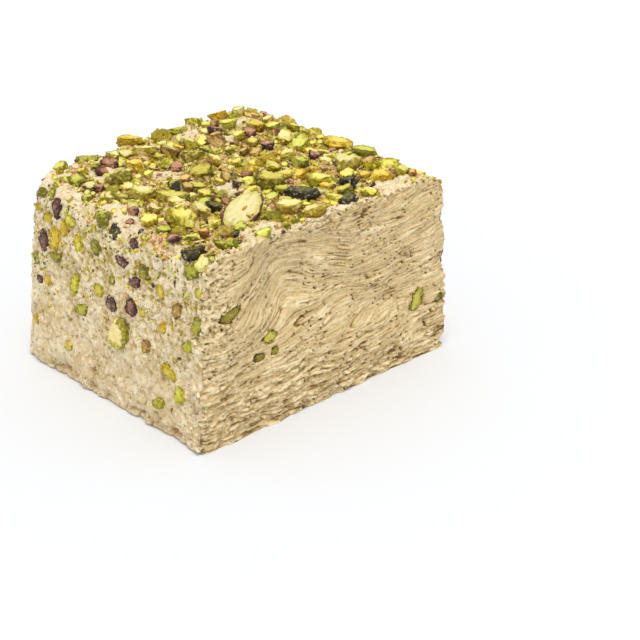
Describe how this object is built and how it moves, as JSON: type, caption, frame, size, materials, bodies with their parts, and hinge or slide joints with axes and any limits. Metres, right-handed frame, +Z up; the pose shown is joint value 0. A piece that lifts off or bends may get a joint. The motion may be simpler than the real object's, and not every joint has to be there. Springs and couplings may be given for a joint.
{
  "type": "pistachio halva block",
  "caption": "Moulded block of sesame halva, cut straight across one end, with chopped pistachio pressed into its top and sides.",
  "frame": {"origin": "on the table under the middle of the block", "axes": "+X across the cut face to the right as one looks at it, +Y from the cut face to the moulded end, +Z up"},
  "size_m": [0.1213, 0.1095, 0.0773],
  "materials": {
    "halva": "dry, crumbly and layered sesame halva",
    "pistachio_pale": "cut pistachio, waxy",
    "pistachio_green": "cut pistachio, waxy",
    "pistachio_yellow": "cut pistachio, waxy",
    "pistachio_dark": "pistachio in its dark skin, slightly glossy"
  },
  "bodies": {
    "root": {"halva_block": "halva", "kernel_01": "pistachio_pale", "kernel_02": "pistachio_green", "kernel_03": "pistachio_green", "kernel_04": "pistachio_green", "kernel_05": "pistachio_dark", "kernel_06": "pistachio_yellow", "kernel_07": "pistachio_yellow", "kernel_08": "pistachio_pale", "kernel_09": "pistachio_green", "kernel_10": "pistachio_green", "kernel_11": "pistachio_pale", "kernel_12": "pistachio_pale", "kernel_hero": "pistachio_pale"}
  },
  "joints": []
}
